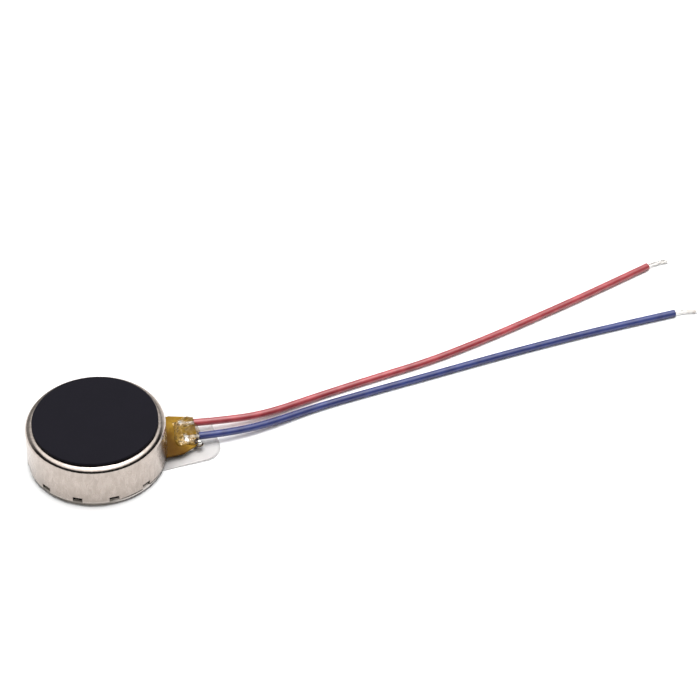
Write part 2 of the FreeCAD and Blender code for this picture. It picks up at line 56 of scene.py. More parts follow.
def makeCamera(values):
    turn, lift = math.radians(values["azimuth"]), math.radians(values["elevation"])
    back = Vector((math.sin(turn) * math.cos(lift), -math.cos(turn) * math.cos(lift), math.sin(lift)))
    data = bpy.data.cameras.new("camera")
    data.lens = values["lens"]
    data.clip_start = 0.005
    data.clip_end = 10
    camera = bpy.data.objects.new("camera", data)
    scene.collection.objects.link(camera)
    camera.location = Vector(values["aim"]) * mm + back * values["distance"]
    camera.rotation_euler = (-back).to_track_quat("-Z", "Y").to_euler()
    scene.camera = camera


makeCamera(cameraValues)


# One output socket of a node. Sums, differences and products written with it become Math nodes.
class Flow:
    def __init__(self, paint, socket):
        self.paint = paint
        self.socket = socket

    def math(self, operation, *others):
        return self.paint.node("Math", {"operation": operation}, dict(enumerate((self, *others))))

    def __add__(self, other):
        return self.math("ADD", other)

    def __sub__(self, other):
        return self.math("SUBTRACT", other)

    def __mul__(self, other):
        return self.math("MULTIPLY", other)

    def __rsub__(self, other):
        return self * -1 + other

    __radd__ = __add__
    __rmul__ = __mul__

    # 0 below the first value, 1 above the second, and a smooth climb between
    def step(self, low, high):
        return self.paint.node("MapRange", {"interpolation_type": "SMOOTHSTEP"},
                               {"Value": self, "From Min": low, "From Max": high})

    # stripes that rise and fall once over each pitch
    def ripple(self, pitch):
        return (self * (2 * math.pi / pitch)).math("SINE") * 0.5 + 0.5


# The nodes of a material or of the sky. Sizes are in metres, on the piece's own coordinates.
class Paint:
    def __init__(self, owner, kind, place):
        self.owner = owner
        owner.use_nodes = True
        self.tree = owner.node_tree
        self.shader = next(n for n in self.tree.nodes if n.type == kind)
        self.spot = self.node("TexCoord", out=place)

    # a node of one kind, with its settings first and then its sockets' values or links
    def node(self, kind, settings=None, sockets=None, out=0):
        made = self.tree.nodes.new("ShaderNode" + kind)
        for label, value in (settings or {}).items():
            setattr(made, label, value)
        for label, value in (sockets or {}).items():
            self.feed(made.inputs[label], value)
        return Flow(self, made.outputs[out])

    def feed(self, socket, value):
        if isinstance(value, Flow):
            self.tree.links.new(value.socket, socket)
        else:
            socket.default_value = value

    def finish(self, **sockets):
        for label, value in sockets.items():
            self.feed(self.shader.inputs[label.replace("_", " ")], value)
        return self.owner

    # coordinates divided by a feature size, longer along an axis where stretch is above 1
    def scaled(self, size, stretch=(1, 1, 1)):
        return self.node("Mapping", {}, {"Vector": self.spot,
                                         "Scale": [1 / (size * part) for part in stretch]})

    def noise(self, size, detail=2.0, stretch=(1, 1, 1), rough=0.5):
        return self.node("TexNoise", {}, {"Vector": self.scaled(size, stretch), "Scale": 1,
                                          "Detail": detail, "Roughness": rough})

    def cells(self, size):
        return self.node("TexVoronoi", {}, {"Vector": self.scaled(size), "Scale": 1}, out="Distance")

    def along(self, axis):
        return self.node("SeparateXYZ", {}, {0: self.spot}, out=axis)

    # distance from the motor's axis
    def radius(self):
        flat = self.node("VectorMath", {"operation": "MULTIPLY"}, {0: self.spot, 1: (1, 1, 0)})
        return self.node("VectorMath", {"operation": "LENGTH"}, {0: flat}, out="Value")

    # distance from a point
    def distance(self, point):
        return self.node("VectorMath", {"operation": "DISTANCE"}, {0: self.spot, 1: point}, out="Value")

    def tint(self, factor, first, second):
        pair = [c if isinstance(c, Flow) else (*c, 1) for c in (first, second)]
        return self.node("Mix", {"data_type": "RGBA"}, {0: factor, 6: pair[0], 7: pair[1]}, out=2)

    def bump(self, height, depth, strength=1.0):
        return self.node("Bump", {}, {"Height": height, "Distance": depth, "Strength": strength})


def newPaint(name):
    return Paint(bpy.data.materials.new(name), "BSDF_PRINCIPLED", "Object")


def wear(node, material):
    data = nodes[node].data
    data.materials.clear()
    data.materials.append(material)
    data.polygons.foreach_set("material_index", np.zeros(len(data.polygons), np.int32))


# A grid of points, rows by columns, becomes quads. Columns can close into a ring,
# and each end row can be closed with a fan to its own middle point.
def gridMesh(name, grids, material, ring=True, caps=True):
    points, faces, offset = [], [], 0
    for grid in grids:
        rows, columns = grid.shape[:2]
        number = np.arange(rows * columns).reshape(rows, columns) + offset
        after = np.roll(number, -1, axis=1) if ring else number[:, 1:]
        here = number if ring else number[:, :-1]
        quads = np.stack([here[:-1], after[:-1], after[1:], here[1:]], axis=-1).reshape(-1, 4)
        faces += quads.tolist()
        points.append(grid.reshape(-1, 3))
        offset += rows * columns
        if caps:
            points.append(np.stack([grid[0].mean(0), grid[-1].mean(0)]))
            first, last = number[0], number[-1]
            start = np.stack([np.roll(first, -1), first, np.full(columns, offset)], axis=-1)
            end = np.stack([last, np.roll(last, -1), np.full(columns, offset + 1)], axis=-1)
            faces += start.tolist() + end.tolist()
            offset += 2
    mesh = bpy.data.meshes.new(name)
    mesh.from_pydata(np.concatenate(points), [], faces)
    mesh.validate()
    mesh.shade_smooth()
    mesh.materials.append(material)
    item = bpy.data.objects.new(name, mesh)
    scene.collection.objects.link(item)
    return item


# The piece rides on the housing and stands for a CAD node, which it hides.
def fit(item, node):
    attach(item, "housing")
    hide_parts(node)


# A round profile carried along each line of points: centre + side * r cos + up * r sin,
# where side is level and square to the line, and r is given for each point.
def tubes(lines, radii, around):
    ahead = np.gradient(lines, axis=1)
    ahead /= np.linalg.norm(ahead, axis=2, keepdims=True)
    side = np.cross(ahead, (0.0, 0.0, 1.0))
    side /= np.linalg.norm(side, axis=2, keepdims=True)
    up = np.cross(ahead, side)
    angle = np.linspace(0, 2 * math.pi, around, endpoint=False)
    spoke = side[:, :, None] * np.cos(angle)[:, None] + up[:, :, None] * np.sin(angle)[:, None]
    return lines[:, :, None] + spoke * radii[:, :, None, None]


leadValues = {
    "diameter": 0.55 * mm,
    "length": 38.4 * mm,
    "redRoute": [(7.3, 0.64, 0.80), (9.5, 0.36, 0.68), (12.6, 0.30, 0.46), (16.6, 1.12, 0.275),
                 (21.2, 1.74, 0.275), (25.9, 2.28, 0.275), (31.0, 3.42, 0.275), (36.6, 4.92, 0.275),
                 (41.2, 6.24, 0.275), (45.2, 7.45, 0.275)],
    "blueRoute": [(7.3, -0.80, 0.80), (9.5, -1.00, 0.68), (12.5, -0.74, 0.46), (16.2, 0.04, 0.275),
                  (20.6, 0.44, 0.275), (25.8, 0.84, 0.275), (31.2, 1.30, 0.275), (36.6, 1.62, 0.275),
                  (41.2, 1.76, 0.275), (45.15, 1.80, 0.275)],
}


def insulation(name, deep, light, gloss):
    paint = newPaint(name)
    cloud = paint.noise(0.9 * mm, 3)
    fine = paint.noise(0.09 * mm, 3, stretch=(4, 1, 1))
    colour = paint.tint(cloud.step(0.35, 0.7), deep, light)
    return paint.finish(Specular_IOR_Level=0.5, Coat_Roughness=0.3, Base_Color=colour,
                        Roughness=0.34 + fine * 0.14, Coat_Weight=gloss + cloud * 0.2,
                        Normal=paint.bump(fine, 0.004 * mm, 0.6))


redPlastic = insulation("redInsulation", (0.25, 0.022, 0.028), (0.37, 0.042, 0.050), 0.5)
bluePlastic = insulation("blueInsulation", (0.008, 0.014, 0.095), (0.018, 0.030, 0.15), 0.15)


def makeLead(name, route, material, node):
    curve = bpy.data.curves.new(name, "CURVE")
    curve.dimensions = "3D"
    spline = curve.splines.new("NURBS")
    spline.points.add(len(route) - 1)
    for point, place in zip(spline.points, route):
        point.co = (*[part * mm for part in place], 1)
    spline.order_u = 3
    spline.use_endpoint_u = True
    spline.resolution_u = 16
    lead = bpy.data.objects.new(name, curve)
    scene.collection.objects.link(lead)
    bpy.context.view_layer.update()
    bare = bpy.data.meshes.new_from_object(lead)     # the middle line, while there is no bevel
    line = np.empty(len(bare.vertices) * 3)
    bare.vertices.foreach_get("co", line)
    bpy.data.meshes.remove(bare)
    curve.bevel_depth = leadValues["diameter"] / 2
    curve.bevel_resolution = 6
    curve.use_fill_caps = True
    curve.materials.append(material)
    fit(lead, node)
    return lead, line.reshape(-1, 3)


redLead, redLine = makeLead("redLead", leadValues["redRoute"], redPlastic,
                            "red_lead")
blueLead, blueLine = makeLead("blueLead", leadValues["blueRoute"], bluePlastic,
                              "blue_lead")
print("leads laid")


strandValues = {
    "count": 7,                 # a middle one and six round it
    "radius": 0.038 * mm,
    "gap": 1.01,                # between middles, against touching
    "uneven": 0.25,             # how far the six differ in their distance from the middle
    "tipLength": 1.75 * mm,
    "padLength": 1.1 * mm,
    "inside": 0.35 * mm,        # start inside the insulation
    "lay": 1.6 * mm,            # one turn of the twist
    "steps": 28,
}


def tinnedMetal():
    paint = newPaint("tinnedCopper")
    cloud = paint.noise(0.12 * mm, 3)
    fine = paint.noise(0.025 * mm, 2)
    colour = paint.tint(cloud.step(0.4, 0.72), (0.74, 0.73, 0.71), (0.60, 0.55, 0.50))
    return paint.finish(Metallic=1.0, Base_Color=colour, Roughness=0.2 + fine * 0.2,
                        Normal=paint.bump(fine, 0.002 * mm, 0.6))


tinned = tinnedMetal()


# The bundle's middle line leaves the lead's end along ahead, and at the share s of its length it
# is bend * s^2 aside and sink * s^2 down. Strand 0 follows it, and the others circle it once per
# lay, on a circle that widens by splay * s^2. Each strand's end rounds off over its last two rows.
def strandBundle(name, start, ahead, length, bend, sink, splay, node):
    values = strandValues
    along = np.linspace(-values["inside"], length, values["steps"])
    share = np.clip(along / length, 0, 1)
    level = np.array((0, 0, 1.0))
    side = np.cross(ahead, level)
    middle = (start + along[:, None] * ahead + (bend * share ** 2)[:, None] * side
              - (sink * share ** 2)[:, None] * level)
    number = np.arange(values["count"])[:, None]
    turn = 2 * math.pi * (number / (values["count"] - 1) + along / values["lay"])
    spread = 2 * values["radius"] * values["gap"] * (1 + splay * share ** 2)
    spread = spread * (1 + values["uneven"] * np.sin(number * 2.4))
    spread[0] = 0
    across, up = (spread * np.cos(turn))[:, :, None], (spread * np.sin(turn))[:, :, None]
    lines = middle + side * across + level * up
    radii = np.full((values["count"], values["steps"]), values["radius"])
    radii[:, -2:] *= (0.9, 0.45)
    item = gridMesh(name, list(tubes(lines, radii, 10)), tinned)
    fit(item, node)
    return item


def unit(vector):
    return vector / np.linalg.norm(vector)


redAhead, blueAhead = unit(redLine[-1] - redLine[-2]), unit(blueLine[-1] - blueLine[-2])
redBack, blueBack = unit(redLine[0] - redLine[1]), unit(blueLine[0] - blueLine[1])
redTip = strandBundle("redTinnedEnd", redLine[-1], redAhead, strandValues["tipLength"],
                      0.30 * mm, 0.10 * mm, 0.5, "red_tinned_end")
blueTip = strandBundle("blueTinnedEnd", blueLine[-1], blueAhead, strandValues["tipLength"],
                       0.26 * mm, 0.08 * mm, 0.3, "blue_tinned_end")
redPad = strandBundle("redPadStrands", redLine[0], redBack, strandValues["padLength"],
                      -0.03 * mm, 0.02 * mm, 0.9, "red_pad_strands")
bluePad = strandBundle("bluePadStrands", blueLine[0], blueBack, strandValues["padLength"],
                       0.03 * mm, 0.02 * mm, 0.9, "blue_pad_strands")
print("strands made")


# A drop on a flat base: height falls as (1 - r^2)^power from the middle, its rim and its top
# swell and sink with a few waves round the middle, and its base is a flat fan. Each wave is its
# number of crests, its size and its start. The outline is |x|^n + |y|^n = 1, n being fill, which is
# above 2 for a drop that fills its corners.
def drop(centre, halfSize, height, waves, power=0.5, rows=20, around=48, fill=2.0):
    angle = np.linspace(0, 2 * math.pi, around, endpoint=False)
    share = np.sin(np.linspace(0.02, 1, rows) * math.pi / 2)[:, None]
    squared = (np.abs(np.cos(angle)) ** fill + np.abs(np.sin(angle)) ** fill) ** (-1 / fill)
    rim = sum(size * np.cos(count * angle + start) for count, size, start in waves)
    reach = squared * (1 + rim * share ** 2)
    x = centre[0] + halfSize[0] * share * reach * np.cos(angle)
    y = centre[1] + halfSize[1] * share * reach * np.sin(angle)
    swell = sum(size * 1.4 * np.cos((count + 1) * angle + 2 * start) for count, size, start in waves)
    z = centre[2] + height * (1 - share ** 2) ** power * (1 + swell * share * (1 - share) * 2)
    return np.stack([x, y, z], axis=-1)[::-1]


def solderMetal():
    paint = newPaint("solder")
    cloud = paint.noise(0.2 * mm, 3)
    grain = paint.noise(0.03 * mm, 2)
    colour = paint.tint(cloud, (0.62, 0.60, 0.56), (0.84, 0.83, 0.81))
    return paint.finish(Metallic=1.0, Base_Color=colour, Roughness=0.16 + grain * 0.22,
                        Normal=paint.bump(cloud * 0.8 + grain * 0.2, 0.02 * mm, 0.5))


# places, and the sizes given with them, are in mm
sealantValues = {
    "mainWaves": [(2, 0.03, 0.4), (3, 0.05, 1.9), (5, 0.035, 0.3), (7, 0.02, 2.5)],
    "grow": (1.14, 1.03, 1.0),    # against the plain bead's size, along X, Y and Z
    "shift": -0.06 * mm,          # along X
    "slant": 0.125,               # it follows the slanted end of the tail
    "thin": (6.2, 6.9, 0.5),      # from the second x to the first it falls to this share of its height
    "peaks": [(6.29, 0.73, 0.12, 0.10), (6.73, 0.41, 0.11, 0.10), (6.49, -0.11, 0.12, 0.10),
              (6.65, -0.76, 0.11, 0.10), (6.54, -1.10, 0.09, 0.07)],   # x, y, size, height
    "smallPeaks": 46,             # and as many small ones, up and down
    "smallHeight": 0.035,
    "smallPlaces": ((5.7, 7.4), (-1.3, 1.3)),   # ranges of x and y
    "smallSizes": (0.07, 0.13),
    "ballPlace": (7.17, -1.43, 0.79),   # a stray ball of solder at the corner of the flex
    "ballRadius": 0.20,
    "collarRadius": 0.28,               # dark resin round its foot
    "collarReach": 0.35,                # from the ball's middle
    "collarDepth": 0.08 * mm,           # how far its foot lies below the bead's
}


# amber and see-through with a few dark inclusions, clearer over the leads, and dark round the ball
def clearResin():
    paint = newPaint("sealant")
    cloud = paint.noise(0.36 * mm, 3)
    fine = paint.noise(0.15 * mm, 2)
    dark = paint.noise(0.17 * mm, 3).step(0.54, 0.60)
    ballPlace = [part * mm for part in sealantValues["ballPlace"]]
    reach = sealantValues["collarReach"] * mm
    stray = 1 - paint.distance(ballPlace).step(reach - 0.01 * mm, reach + 0.01 * mm)
    outer = paint.along("X").step(6.5 * mm, 7.2 * mm)
    amber = paint.tint(cloud.step(0.3, 0.75), (0.50, 0.29, 0.030), (0.26, 0.125, 0.008))
    amber = paint.tint(outer * 0.5, amber, (0.16, 0.075, 0.014))
    amber = paint.tint(dark * 0.9, amber, (0.022, 0.012, 0.003))
    colour = paint.tint(stray, amber, (0.020, 0.014, 0.018))
    lumps = (cloud * 0.4 + fine * 0.6) * (1 - stray)
    body = (0.36 + cloud * 0.2) * (1 - outer * 0.45) + dark * 0.45
    return paint.finish(IOR=1.5, Specular_IOR_Level=0.9, Specular_Tint=(1.0, 0.74, 0.36, 1),
                        Coat_Roughness=0.03, Coat_IOR=1.8, Base_Color=colour,
                        Roughness=0.08 + fine * 0.06, Coat_Weight=0.35 + fine * 0.2, Alpha=body + stray,
                        Normal=paint.bump(lumps, 0.10 * mm, 0.8))


solder = solderMetal()
sealantResin = clearResin()


def boxOf(node):
    low, high = (np.array(corner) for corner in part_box(node))
    return low, high, (low + high) / 2, (high - low) / 2


# a ball in rows from its foot to its top: centre + radius * (sin t cos a, sin t sin a, -cos t)
def ball(centre, radius, rows=14, around=28):
    t = np.linspace(0.08, math.pi - 0.08, rows)[:, None]
    a = np.linspace(0, 2 * math.pi, around, endpoint=False)
    return centre + radius * np.stack([np.sin(t) * np.cos(a), np.sin(t) * np.sin(a), -np.cos(t) + 0 * a],
                                      axis=-1)


def solderBlob(name, node, start, extra=()):
    low, high, middle, half = boxOf(node)
    blob = drop((middle[0], middle[1], low[2]), half[:2] * 0.98, (high - low)[2] * 0.97,
                [(2, 0.06, start), (3, 0.05, 1.3 * start), (5, 0.03, 2.1)], power=0.6)
    item = gridMesh(name, [blob, *extra], solder)
    fit(item, node)
    return item


redBlob = solderBlob("redSolderJoint", "red_solder_joint", 0.6)
strayBall = ball(np.array(sealantValues["ballPlace"]) * mm, sealantValues["ballRadius"] * mm)
blueBlob = solderBlob("blueSolderJoint", "blue_solder_joint", 2.2, [strayBall])


# A drop, slanted, whose height climbs from its thin share by 3c^2 - 2c^3, c being the share of the
# way along thin's x. At each peak, where solder and strand ends push the resin up, and at the
# seeded small ones its top rises by height * e^(-d^2 / size^2), d being the distance from there,
# times the share of the drop's height that is reached. A low collar of resin holds the ball.
def makeSealant():
    low, high, middle, half = boxOf("joint_sealant")
    wide, deep, tall = np.array(sealantValues["grow"]) * (*half[:2], (high - low)[2])
    main = drop((middle[0] + sealantValues["shift"], middle[1], low[2]), (wide, deep), tall,
                sealantValues["mainWaves"], power=0.4, rows=64, around=160, fill=3.2)
    main[..., 0] += sealantValues["slant"] * main[..., 1]
    share = np.clip((main[..., 2] - low[2]) / tall, 0, 1)
    thinStart, thinEnd, thinShare = sealantValues["thin"]
    climb = np.clip((main[..., 0] / mm - thinStart) / (thinEnd - thinStart), 0, 1)
    climb = thinShare + (1 - thinShare) * climb ** 2 * (3 - 2 * climb)
    main[..., 2] = low[2] + (main[..., 2] - low[2]) * climb
    random = np.random.default_rng(5)
    rise = sealantValues["smallHeight"]
    ranges = (*sealantValues["smallPlaces"], sealantValues["smallSizes"], (-rise, rise))
    small = np.stack([random.uniform(*ends, sealantValues["smallPeaks"]) for ends in ranges], axis=-1)
    for x, y, size, height in (*sealantValues["peaks"], *small):
        away = np.hypot(main[..., 0] - x * mm, main[..., 1] - y * mm) / (size * mm)
        main[..., 2] += height * mm * np.exp(-away ** 2) * share
    place, size = np.array(sealantValues["ballPlace"]) * mm, sealantValues["collarRadius"] * mm
    collar = drop((place[0], place[1], low[2] - sealantValues["collarDepth"]), (size, size), size * 0.5,
                  [(3, 0.04, 0.5)], rows=16, around=32)
    fit(gridMesh("jointSealant", [main, collar], sealantResin), "joint_sealant")


makeSealant()
print("joints and sealant made")


foamValues = {
    "edge": 0.07 * mm,       # rounding of the die cut edge
    "sag": 0.015 * mm,       # how far the skin dips towards the rim
    "ripple": 0.006 * mm,    # unevenness of the cut
    "pole": 0.05 * mm,       # radius of the ring that closes each face
}


def foam():
    paint = newPaint("foam")
    pores = paint.cells(0.075 * mm)
    cloud = paint.noise(1.6 * mm, 3)
    fine = paint.noise(0.05 * mm, 3)
    colour = paint.tint(cloud * 0.6 + fine * 0.4, (0.0040, 0.0035, 0.0064), (0.0062, 0.0055, 0.0095))
    return paint.finish(Specular_IOR_Level=0.12, Base_Color=colour, Roughness=0.72 + fine * 0.2,
                        Normal=paint.bump(pores * 0.6 + fine * 0.4, 0.012 * mm, 0.5))


# A disc turned from a profile: out across the underside, up the cut edge, round its corner on a
# quarter circle, and in across a skin that dips as sag * r^4. The rim's radius wavers with angle.
def makeFoamPad():
    low, high, middle, half = boxOf("foam_pad")
    edge, sag, pole = foamValues["edge"], foamValues["sag"], foamValues["pole"]
    radius, top = half[0], high[2]
    bend = np.linspace(0, math.pi / 2, 7)
    inward = np.linspace(radius - edge, pole, 40)[1:]
    under = [pole, radius / 2, radius - edge / 2, radius]
    r = np.concatenate([under, radius - edge + edge * np.cos(bend), inward])
    dip = sag * (inward / radius) ** 4
    corner = top - sag - edge + edge * np.sin(bend)
    z = np.concatenate([[low[2]] * 3, [low[2] + edge / 3], corner, top - dip])
    angle = np.linspace(0, 2 * math.pi, 180, endpoint=False)
    waver = np.sin(7 * angle) + 0.6 * np.sin(17 * angle + 1) + 0.4 * np.sin(31 * angle) - 2
    reach = r[:, None] + foamValues["ripple"] * waver * (r[:, None] / radius) ** 6
    grid = np.stack([middle[0] + reach * np.cos(angle), middle[1] + reach * np.sin(angle),
                     z[:, None] + 0 * angle], axis=-1)
    item = gridMesh("foamPad", [grid], foam())
    fit(item, "foam_pad")


makeFoamPad()
print("foam pad made")


linerValues = {
    "width": 2.7 * mm,       # from the tab's middle to its side
    "corner": 1.4 * mm,
    "lift": 0.03 * mm,       # how far the tab's end curls off the ground
    "warp": 0.16 * mm,       # and its near side
    "wave": 0.02 * mm,
    "waveLength": 1.1 * mm,  # over one radian
    "nearFrom": 0.35,        # share of the width from which the near side curls
    "fine": 0.7,             # half angle over which the outline has closer points
}


def linerFilm():
    paint = newPaint("linerFilm")
    cloud = paint.noise(1.2 * mm, 3)
    fine = paint.noise(0.08 * mm, 3)
    # painted shade: the film is greyer towards -Y, in the shade of the leads and the case, and lighter
    # and clearer towards +Y
    linerShadeFade = paint.along("Y").step(-2.4 * mm, 0.6 * mm)
    shadedGrey = paint.tint(cloud, (0.56, 0.54, 0.53), (0.64, 0.62, 0.61))
    colour = paint.tint(linerShadeFade, shadedGrey, (0.86, 0.86, 0.85))
    return paint.finish(IOR=1.45, Specular_IOR_Level=0.5, Base_Color=colour,
                        Roughness=0.28 + fine * 0.15, Alpha=(0.6 + cloud * 0.15) * (1 - linerShadeFade * 0.55),
                        Normal=paint.bump(cloud, 0.02 * mm, 0.4))


# The outline is a radius for each angle round the motor's axis: the larger of the round part's and
# the tab's, whose sides and corner arcs are turned into angle and radius. Rows run from the middle
# underneath to the rim, up the rim and back on top. The tab rises as the square of the share of its
# reach, its near side by the root of that share times the square of its nearness, and in waves.
def makeLiner():
    low, high, middle, half = boxOf("release_liner")
    roundRadius, reach, width, corner = -low[0], high[0], linerValues["width"], linerValues["corner"]
    bend = np.linspace(0, math.pi / 2, 24)
    side = np.stack([np.linspace(2 * mm, reach - corner, 40), np.full(40, width)], axis=-1)
    arc = np.stack([reach - corner + corner * np.sin(bend), width - corner + corner * np.cos(bend)],
                   axis=-1)
    end = np.stack([np.full(12, reach), np.linspace(width - corner, 0, 12)], axis=-1)
    outline = np.concatenate([side, arc, end])[::-1]
    tabAngle, tabRadius = np.arctan2(outline[:, 1], outline[:, 0]), np.hypot(*outline.T)
    fine = linerValues["fine"]
    angle = np.concatenate([np.linspace(-fine, fine, 260, endpoint=False),
                            np.linspace(fine, 2 * math.pi - fine, 150, endpoint=False)])
    bare = np.abs((angle + math.pi) % (2 * math.pi) - math.pi)
    rim = np.maximum(roundRadius, np.interp(bare, tabAngle, tabRadius, right=0))
    share = np.linspace(0.02, 1, 24)[:, None]
    x, y = share * rim * np.cos(angle), share * rim * np.sin(angle)
    out = np.clip((x - roundRadius) / (reach - roundRadius), 0, 1)
    nearFrom = linerValues["nearFrom"]
    near = np.clip((-y / width - nearFrom) / (1 - nearFrom), 0, 1)
    curl = (linerValues["lift"] * out ** 2 + linerValues["warp"] * np.sqrt(out) * near ** 2
            + linerValues["wave"] * out * (0.5 + 0.5 * np.sin(y / linerValues["waveLength"] + 1)))
    top = np.stack([x, y, high[2] + curl], axis=-1)
    below = np.stack([x, y, low[2] + curl], axis=-1)
    item = gridMesh("releaseLiner", [np.concatenate([below, top[::-1]])], linerFilm())
    fit(item, "release_liner")


makeLiner()
print("liner made")


caseValues = {
    "dark": (0.300, 0.258, 0.227),
    "light": (0.445, 0.388, 0.350),
    "brush": 0.07 * mm,                   # width of a brush line
    "rolled": (2.9 * mm, 3.2 * mm),       # heights between which the smoother rolled edge starts
    "foot": (0.44 * mm, 0.60 * mm),       # and the foot's painted highlight, a lighter band, ends
    "paintedShadeLine": (0.49 * mm, 0.55 * mm),     # and the painted shade line at its foot ends
    "paintedShadeSide": (-0.4 * mm, 1.2 * mm),       # x between which the painted shade starts at its foot and under it
}


def caseSteel():
    paint = newPaint("caseSteel")
    streak = paint.noise(caseValues["brush"], 3, stretch=(1, 1, 12))
    mottle = paint.noise(0.34 * mm, 4, stretch=(1, 1, 2.4), rough=0.62).step(0.34, 0.66)
    cloud = paint.noise(2.6 * mm, 2).step(0.35, 0.65)
    height = paint.along("Z")
    # painted highlight: the foot is tinted lighter, a bright line along the lower edge
    foot = 1 - height.step(*caseValues["foot"])
    # painted shade: a near black line at the foot on the +X side, where the lower edge is in shade
    paintedShadeLine = (1 - height.step(*caseValues["paintedShadeLine"])) * paint.along("X").step(*caseValues["paintedShadeSide"])
    mix = mottle * 0.45 + streak * 0.40 + cloud * 0.15
    colour = paint.tint(mix, caseValues["dark"], caseValues["light"])
    colour = paint.tint(foot * 0.3, colour, (0.66, 0.62, 0.58))
    colour = paint.tint(paintedShadeLine * 0.95, colour, (0.035, 0.03, 0.026))
    rolled = height.step(*caseValues["rolled"])
    rough = (0.15 + streak * 0.14 + mottle * 0.08) * (1 - rolled * 0.45)
    return paint.finish(Metallic=1.0, Base_Color=colour, Roughness=rough,
                        Normal=paint.bump(streak * 0.6 + mottle * 0.4, 0.006 * mm, 0.7))


def groundSteel():
    paint = newPaint("shaftSteel")
    grain = paint.noise(0.06 * mm, 3, stretch=(4, 4, 0.6))
    cloud = paint.noise(0.4 * mm, 3)
    colour = paint.tint(cloud * 0.6 + grain * 0.4, (0.52, 0.52, 0.53), (0.68, 0.68, 0.69))
    return paint.finish(Metallic=1.0, Base_Color=colour, Roughness=0.12 + grain * 0.18,
                        Normal=paint.bump(grain, 0.004 * mm, 0.6))


plateValues = {
    "paintedReflectionSide": (-0.6 * mm, 1.2 * mm),      # x between which it turns from a painted shaded tone to a bright painted reflection
}


def plateSteel():
    paint = newPaint("plateSteel")
    grain = paint.noise(0.06 * mm, 3, stretch=(5, 1, 1))
    cloud = paint.noise(0.4 * mm, 3)
    # painted reflection and shade: the +X side is painted bright and smoother, the -X side dark, lit and
    # shaded tones of one steel
    paintedReflectionSide = paint.along("X").step(*plateValues["paintedReflectionSide"])
    shadedTone = paint.tint(cloud * 0.6 + grain * 0.4, (0.17, 0.15, 0.13), (0.28, 0.26, 0.235))
    colour = paint.tint(paintedReflectionSide * (0.75 + grain * 0.2), shadedTone, (0.72, 0.67, 0.63))
    return paint.finish(Metallic=1.0, Base_Color=colour, Roughness=0.30 + grain * 0.18 - paintedReflectionSide * 0.12,
                        Normal=paint.bump(grain, 0.004 * mm, 0.6))


wear("case_cover", caseSteel())
wear("bottom_plate", plateSteel())
wear("shaft", groundSteel())


filmValues = {
    "root": (5.0 * mm, 6.3 * mm),   # x between which its painted shade, from the case, ends
    "slant": 0.35,                  # how much smaller that x is for each unit of y
}


def polyimide():
    paint = newPaint("polyimide")
    cloud = paint.noise(0.7 * mm, 3)
    fine = paint.noise(0.06 * mm, 2)
    across = paint.along("X") + paint.along("Y") * filmValues["slant"]
    # painted shade: the tail is darker near the case, standing in for the case's shade on it
    root = 1 - across.step(*filmValues["root"])
    amber = paint.tint(cloud.step(0.3, 0.7), (0.19, 0.098, 0.008), (0.30, 0.175, 0.022))
    colour = paint.tint(root * 0.85, amber, (0.070, 0.027, 0.0015))
    return paint.finish(Specular_IOR_Level=0.06, Coat_Roughness=0.1, Base_Color=colour,
                        Roughness=0.14 + fine * 0.08, Coat_Weight=0.02 + cloud * 0.05,
                        Normal=paint.bump(cloud * 0.7 + fine * 0.3, 0.006 * mm, 0.6))


def metalFoil(name, dark, light, rough, stretch=(1, 1, 1)):
    paint = newPaint(name)
    grain = paint.noise(0.035 * mm, 2, stretch=stretch)
    stain = paint.noise(0.6 * mm, 3)
    colour = paint.tint(stain.step(0.3, 0.75), light, dark)
    return paint.finish(Metallic=1.0, Base_Color=colour, Roughness=rough + grain * 0.2,
                        Normal=paint.bump(grain, 0.002 * mm, 0.7))


film = polyimide()
wear("flex_film", film)
wear("flex_coverlay", film)
copper = metalFoil("copper", (0.42, 0.27, 0.10), (0.70, 0.50, 0.22), 0.24)
wear("positive_track", copper)
wear("negative_track", copper)
wear("commutator_segments", metalFoil("giltCopper", (0.62, 0.40, 0.13), (0.88, 0.66, 0.30), 0.14))
brushAlloy = metalFoil("brushAlloy", (0.58, 0.42, 0.20), (0.80, 0.66, 0.40), 0.18, (6, 1, 1))
wear("left_brush", brushAlloy)
wear("right_brush", brushAlloy)
wear("brush_solder_joints", solder)
wear("coil_solder_joints", solder)
print("case and flex dressed")


adhesiveValues = {
    "paintedShadeRim": (4.6 * mm, 4.75 * mm),    # radii between which its painted shade at the rim starts
}


def adhesive():
    paint = newPaint("adhesive")
    fibre = paint.noise(0.05 * mm, 3, stretch=(8, 1, 1))
    cross = paint.noise(0.05 * mm, 3, stretch=(1, 8, 1))
    rim = paint.radius().step(*adhesiveValues["paintedShadeRim"])
    # painted shade: the rim on the +X side is painted near black, the shadow line under the plate's edge
    adhesiveShade = paint.along("X").step(*caseValues["paintedShadeSide"]) * rim
    unshadedTone = paint.tint(fibre * 0.5 + cross * 0.5, (0.15, 0.125, 0.105), (0.24, 0.205, 0.175))
    colour = paint.tint(adhesiveShade * (0.8 + fibre * 0.2), unshadedTone, (0.030, 0.026, 0.023))
    return paint.finish(Specular_IOR_Level=0.4, Base_Color=colour, Roughness=0.42 + fibre * 0.2,
                        Normal=paint.bump(fibre + cross, 0.006 * mm, 0.6))


def ferrite():
    paint = newPaint("magnet")
    grain = paint.cells(0.05 * mm)
    cloud = paint.noise(0.5 * mm, 3)
    colour = paint.tint(cloud, (0.20, 0.20, 0.21), (0.34, 0.34, 0.35))
    return paint.finish(Metallic=0.7, Base_Color=colour, Roughness=0.34 + grain * 0.25,
                        Normal=paint.bump(grain, 0.008 * mm, 0.6))


